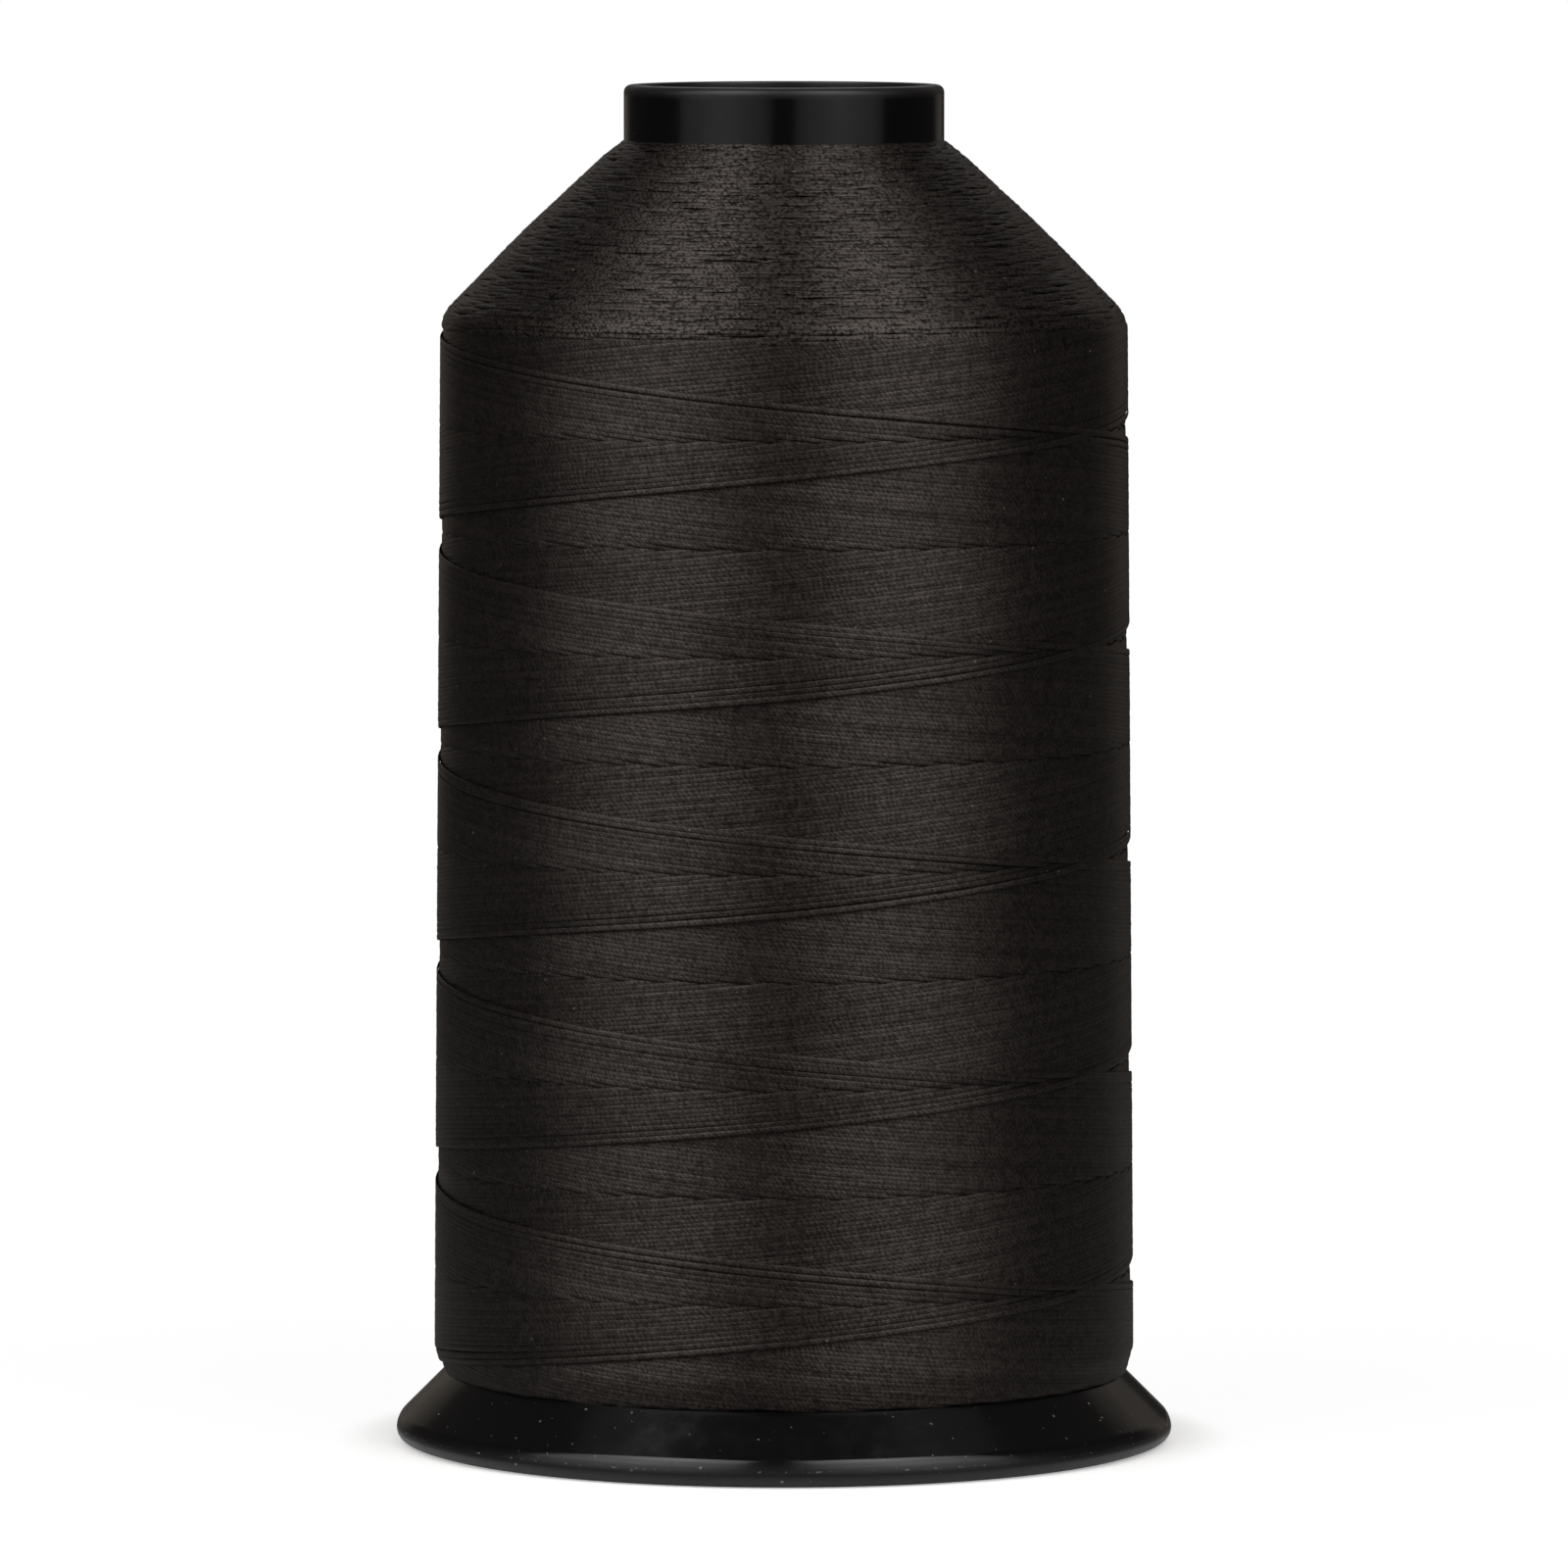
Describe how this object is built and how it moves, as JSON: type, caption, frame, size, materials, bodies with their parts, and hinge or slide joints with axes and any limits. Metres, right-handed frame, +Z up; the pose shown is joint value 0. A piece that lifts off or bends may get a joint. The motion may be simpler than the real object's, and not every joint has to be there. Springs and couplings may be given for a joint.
{
  "type": "spool of thread",
  "caption": "Large spool of cross-wound heavy sewing thread on a glossy plastic tube with a conical foot; the thread is drawn off over the tube's nose.",
  "frame": {"origin": "centre of the foot's rim on the surface the spool stands on", "axes": "+Z up the spool's axis towards the nose; the spool is round, so +X and +Y are any two square directions across it"},
  "size_m": [0.0964, 0.0964, 0.1683],
  "materials": {
    "barrel_plastic": "glossy",
    "foot_plastic": "glossy",
    "wound_thread": "bonded thread",
    "outer_thread": "bonded thread"
  },
  "bodies": {
    "root": {"spool_barrel": "barrel_plastic", "foot_flange": "foot_plastic", "thread_pack": "wound_thread", "thread_outer_layer": "outer_thread"}
  },
  "joints": []
}
